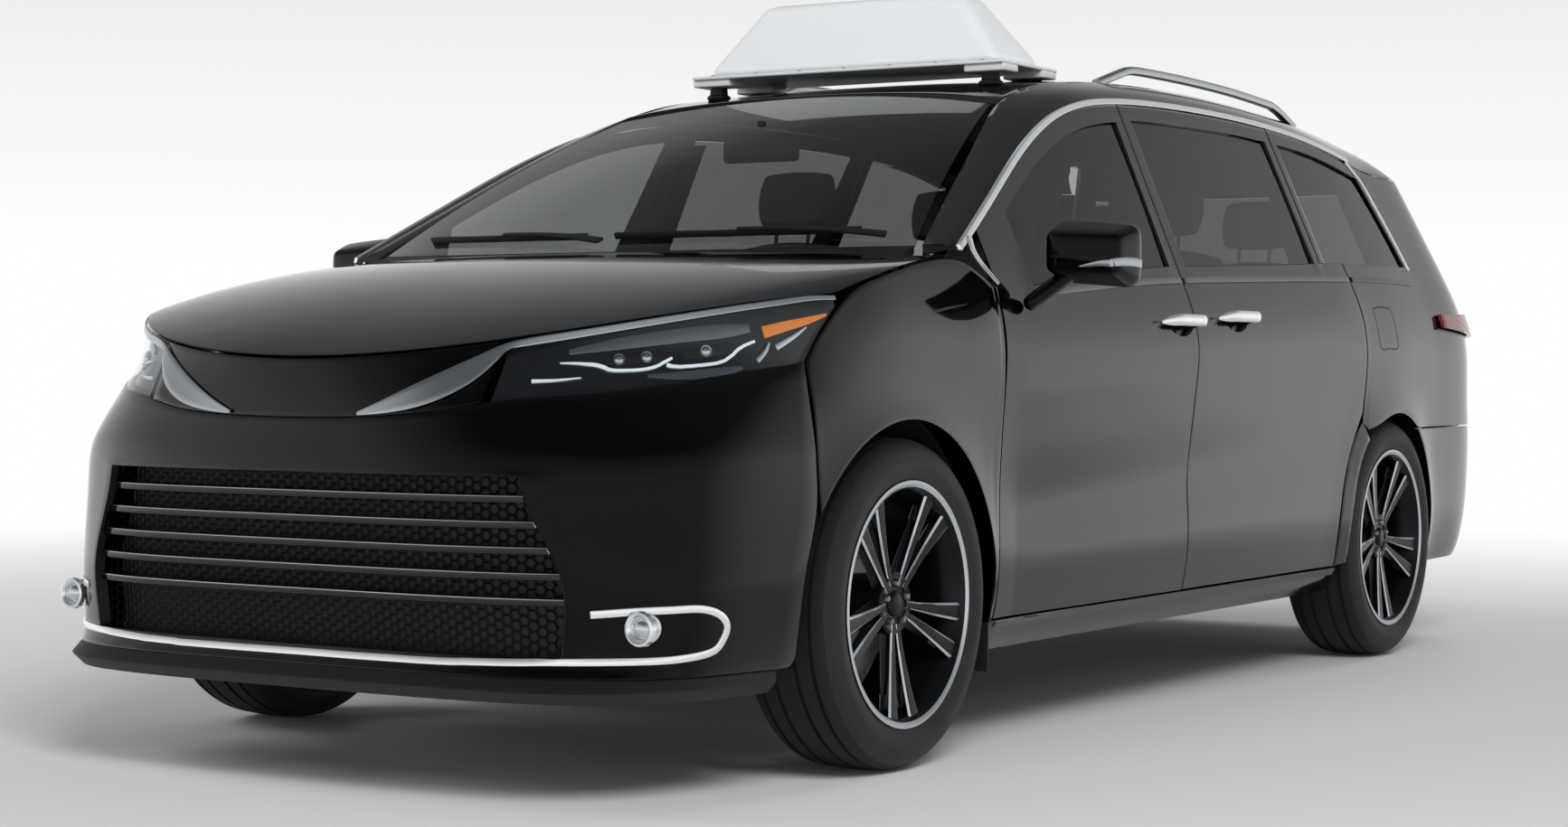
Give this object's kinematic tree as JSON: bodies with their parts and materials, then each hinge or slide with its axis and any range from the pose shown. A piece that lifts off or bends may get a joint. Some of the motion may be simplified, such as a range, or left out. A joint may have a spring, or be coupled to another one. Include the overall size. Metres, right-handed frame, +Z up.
{
  "type": "minivan",
  "caption": "Long one-box passenger van with swing front doors, sliding side doors, lifting hood and tailgate, glazed cabin with seat rows, and a blank lit sign on its roof",
  "frame": {"origin": "on the ground below the middle of the bounding box", "axes": "+X to the vehicle's left side, -Y ahead, +Z up"},
  "size_m": [2.4412, 5.15, 1.9283],
  "materials": {
    "body_paint": "gloss black",
    "black_plastic": "satin black",
    "bright_metal": "polished",
    "lamp_clear": "clear",
    "lamp_red": "translucent red",
    "tinted_glass": "dark tint",
    "rail_metal": "satin",
    "sign_white": "translucent white",
    "sign_plate": "satin",
    "wheel_leather": "black",
    "seat_leather": "dark grey",
    "underbody": "matt black",
    "cast_metal": "as cast",
    "exhaust_steel": "dull",
    "tyre_rubber": "matt",
    "wheel_alloy": "dark with bright edges"
  },
  "bodies": {
    "body": {"floor_pan": "underbody", "side_frames": "body_paint", "quarter_panels": "body_paint", "roof_panel": "body_paint", "fenders": "body_paint", "wheel_houses": "black_plastic", "front_bumper": "body_paint", "grille": "black_plastic", "bumper_lip": "black_plastic", "bright_trim": "bright_metal", "nose_panel": "body_paint", "headlamps": "lamp_clear", "fog_lamps": "lamp_clear", "windshield": "tinted_glass", "cowl": "black_plastic", "sliding_doors": "body_paint", "side_glass": "tinted_glass", "rear_bumper": "body_paint", "tail_lamps": "lamp_red", "roof_rails": "rail_metal", "roof_sign": "sign_white", "sign_base": "sign_plate", "dashboard": "black_plastic", "steering_wheel": "wheel_leather", "front_seats": "seat_leather", "rear_seats": "seat_leather", "engine_block": "cast_metal", "exhaust": "exhaust_steel", "fuel_tank": "black_plastic", "front_subframe": "cast_metal", "rear_axle": "cast_metal", "mud_flaps": "black_plastic"},
    "door_left": {"door_left": "body_paint", "door_glass_left": "tinted_glass", "mirror_left": "body_paint"},
    "door_right": {"door_right": "body_paint", "door_glass_right": "tinted_glass", "mirror_right": "body_paint"},
    "hood": {"hood": "body_paint"},
    "liftgate": {"liftgate": "body_paint", "liftgate_glass": "tinted_glass"},
    "knuckle_left": {"knuckle_left": "cast_metal"},
    "knuckle_right": {"knuckle_right": "cast_metal"},
    "wheel_front_left": {"tyre_front_left": "tyre_rubber", "wheel_front_left": "wheel_alloy"},
    "wheel_front_right": {"tyre_front_right": "tyre_rubber", "wheel_front_right": "wheel_alloy"},
    "wheel_rear_left": {"tyre_rear_left": "tyre_rubber", "wheel_rear_left": "wheel_alloy"},
    "wheel_rear_right": {"tyre_rear_right": "tyre_rubber", "wheel_rear_right": "wheel_alloy"}
  },
  "joints": [
    {"name": "front_left_steer", "type": "hinge", "parent": "body", "child": "knuckle_left", "pos_m": [0.735, -1.622, 0.37], "axis": [0, 0, 1], "range_deg": [-33, 33]},
    {"name": "front_right_steer", "type": "hinge", "parent": "body", "child": "knuckle_right", "pos_m": [-0.735, -1.622, 0.37], "axis": [0, 0, 1], "range_deg": [-33, 33]},
    {"name": "front_left_spin", "type": "hinge", "parent": "knuckle_left", "child": "wheel_front_left", "pos_m": [0.853, -1.622, 0.37], "axis": [1, 0, 0], "continuous": true},
    {"name": "front_right_spin", "type": "hinge", "parent": "knuckle_right", "child": "wheel_front_right", "pos_m": [-0.853, -1.622, 0.37], "axis": [1, 0, 0], "continuous": true},
    {"name": "rear_left_spin", "type": "hinge", "parent": "body", "child": "wheel_rear_left", "pos_m": [0.853, 1.439, 0.37], "axis": [1, 0, 0], "continuous": true},
    {"name": "rear_right_spin", "type": "hinge", "parent": "body", "child": "wheel_rear_right", "pos_m": [-0.853, 1.439, 0.37], "axis": [1, 0, 0], "continuous": true},
    {"name": "left_door_swing", "type": "hinge", "parent": "body", "child": "door_left", "pos_m": [0.92946, -1.1, 0.76], "axis": [0, 0, -1], "range_deg": [0, 65]},
    {"name": "right_door_swing", "type": "hinge", "parent": "body", "child": "door_right", "pos_m": [-0.92946, -1.1, 0.76], "axis": [0, 0, 1], "range_deg": [0, 65]},
    {"name": "hood_lift", "type": "hinge", "parent": "body", "child": "hood", "pos_m": [0, -1.384, 1.108], "axis": [-1, 0, 0], "range_deg": [0, 52]},
    {"name": "liftgate_lift", "type": "hinge", "parent": "body", "child": "liftgate", "pos_m": [0, 2.101, 1.64], "axis": [1, 0, 0], "range_deg": [0, 82]}
  ],
  "couplings": [
    {"joint": "front_right_steer", "follows": "front_left_steer", "ratio": 1}
  ]
}
